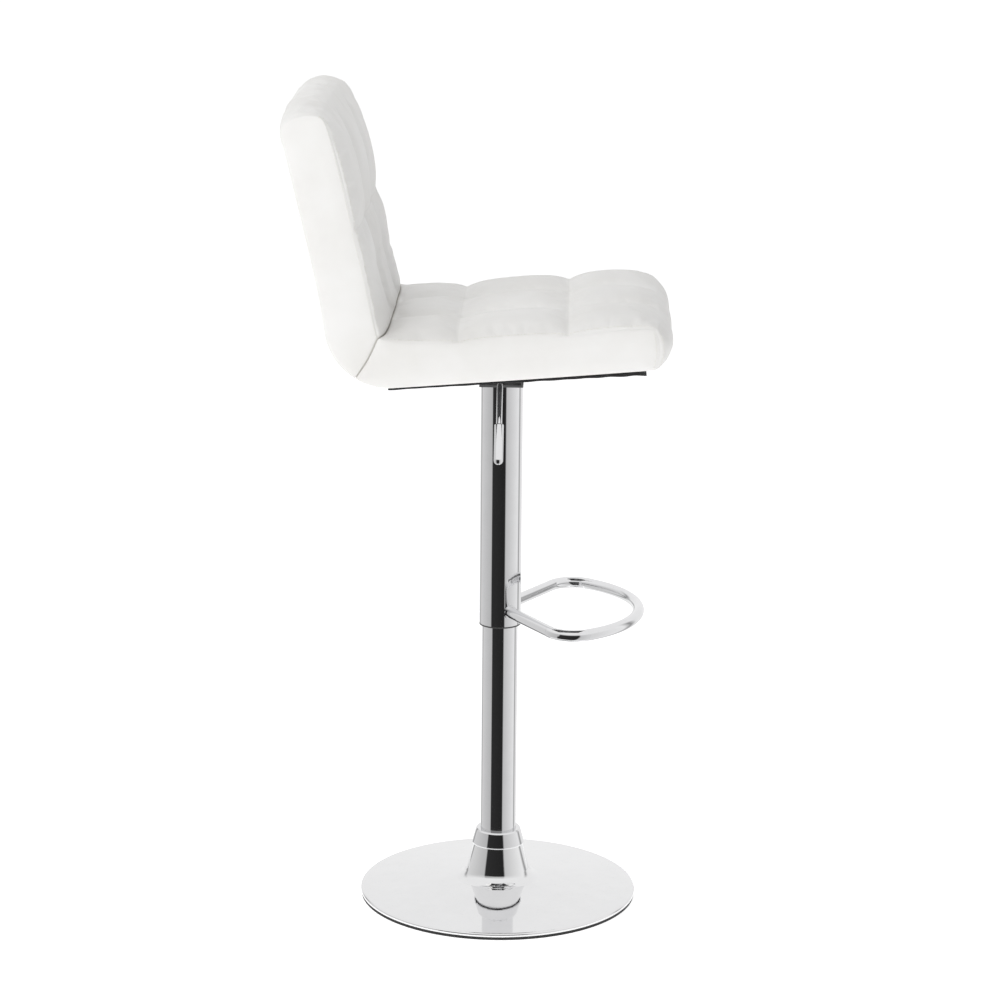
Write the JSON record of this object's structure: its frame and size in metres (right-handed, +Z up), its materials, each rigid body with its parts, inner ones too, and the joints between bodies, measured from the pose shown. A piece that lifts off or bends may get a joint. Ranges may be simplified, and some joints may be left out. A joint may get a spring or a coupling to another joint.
{
  "type": "adjustable swivel stool",
  "caption": "Height-adjustable swivel bar stool: padded quilted seat and back, chrome gas-lift column with loop footrest, lever and round trumpet base.",
  "frame": {"origin": "column axis at floor level, on the plane of the rubber floor ring's underside", "axes": "+Z up along the column; the sitter faces -Y; the sitter's right-hand side, where the lever is, is -X"},
  "size_m": [0.41, 0.512, 1.149],
  "materials": {
    "chrome": "polished",
    "rubber": "matte",
    "raw_steel": "satin",
    "zinc_steel": "satin",
    "ground_steel": "polished",
    "black_plastic": "matte",
    "nylon": "satin",
    "black_steel": "satin",
    "plywood": "matte",
    "leatherette": "satin",
    "dust_cloth": "matte",
    "red_plastic": "satin"
  },
  "bodies": {
    "base": {"base_disc": "chrome", "floor_ring": "rubber", "ballast_plate": "raw_steel", "base_socket": "raw_steel", "ballast_screws": "zinc_steel", "base_collar": "chrome", "outer_tube": "chrome", "tube_end_plate": "raw_steel", "guide_bush": "black_plastic", "lower_race": "ground_steel"},
    "cage": {"ball_cage": "nylon", "bearing_balls": "ground_steel"},
    "rod": {"piston_rod": "ground_steel", "piston": "raw_steel", "piston_seal": "rubber", "upper_race": "ground_steel", "bump_stop": "rubber", "rod_clip": "zinc_steel"},
    "carriage": {"pressure_tube": "black_steel", "rod_guide": "nylon", "rod_seal": "rubber", "valve_housing": "zinc_steel", "plate_socket": "black_steel", "mechanism_bracket": "black_steel", "seat_plate": "black_steel", "mounting_bolts": "zinc_steel", "bolt_washers": "zinc_steel", "tee_nuts": "zinc_steel", "lift_sleeve": "chrome", "sleeve_plug": "black_plastic", "sleeve_guide_ring": "black_plastic", "footrest": "chrome", "footrest_collars": "chrome", "seat_shell": "plywood", "seat_cushion": "leatherette", "back_cushion": "leatherette", "dust_cover": "dust_cloth", "staples": "zinc_steel", "lever_pin": "ground_steel", "lever_pin_clips": "zinc_steel"},
    "lever": {"lever_rod": "chrome", "lever_grip": "chrome"},
    "valve": {"valve_button": "red_plastic"}
  },
  "joints": [
    {"name": "swivel", "type": "hinge", "parent": "base", "child": "rod", "pos_m": [0, 0, 0], "axis": [0, 0, 1], "continuous": true},
    {"name": "cage_turn", "type": "hinge", "parent": "base", "child": "cage", "pos_m": [0, 0, 0], "axis": [0, 0, 1], "continuous": true},
    {"name": "lift", "type": "slide", "parent": "rod", "child": "carriage", "axis": [0, 0, 1], "range_m": [-0.21, 0]},
    {"name": "lever", "type": "hinge", "parent": "carriage", "child": "lever", "pos_m": [-0.022, 0, 0.76], "axis": [0, 1, 0], "range_deg": [0, 7], "stiffness_Nm_per_rad": 8, "springref_deg": -8.59},
    {"name": "valve", "type": "slide", "parent": "carriage", "child": "valve", "axis": [0, 0, -1], "range_m": [0, 0.0027]}
  ],
  "couplings": [
    {"joint": "cage_turn", "follows": "swivel", "ratio": 0.5},
    {"joint": "valve", "follows": "lever", "m_per_rad": 0.022}
  ]
}
